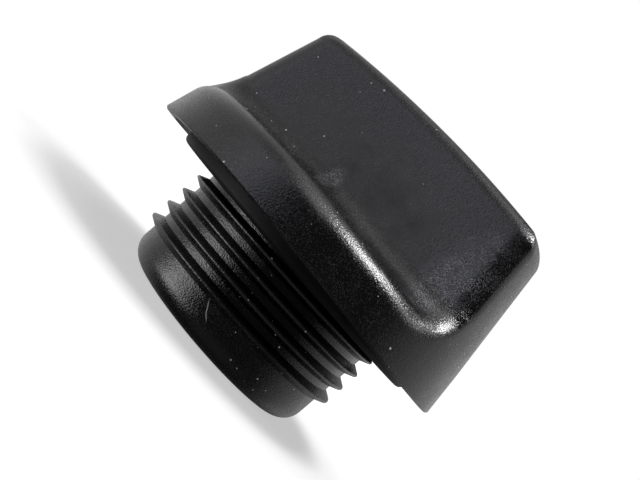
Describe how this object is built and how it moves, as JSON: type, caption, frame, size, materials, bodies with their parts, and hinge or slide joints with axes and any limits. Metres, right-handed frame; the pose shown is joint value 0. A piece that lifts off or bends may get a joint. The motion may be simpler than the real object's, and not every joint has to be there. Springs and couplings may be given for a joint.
{
  "type": "oil filler cap",
  "caption": "Black moulded screw cap with a wing grip across a domed skirt, a coarse threaded stem and a rubber sealing ring under the flange.",
  "frame": {"origin": "centre of the plug end, where the cap stands", "axes": "+Z along the thread axis, from the plug end up to the grip; X along the length of the grip"},
  "size_m": [0.062, 0.062, 0.0484],
  "materials": {
    "cap_plastic": "fine-grained glass-filled nylon, satin sheen",
    "ring_rubber": "smooth black nitrile rubber"
  },
  "bodies": {
    "root": {"cap_body": "cap_plastic", "sealing_ring": "ring_rubber"}
  },
  "joints": []
}
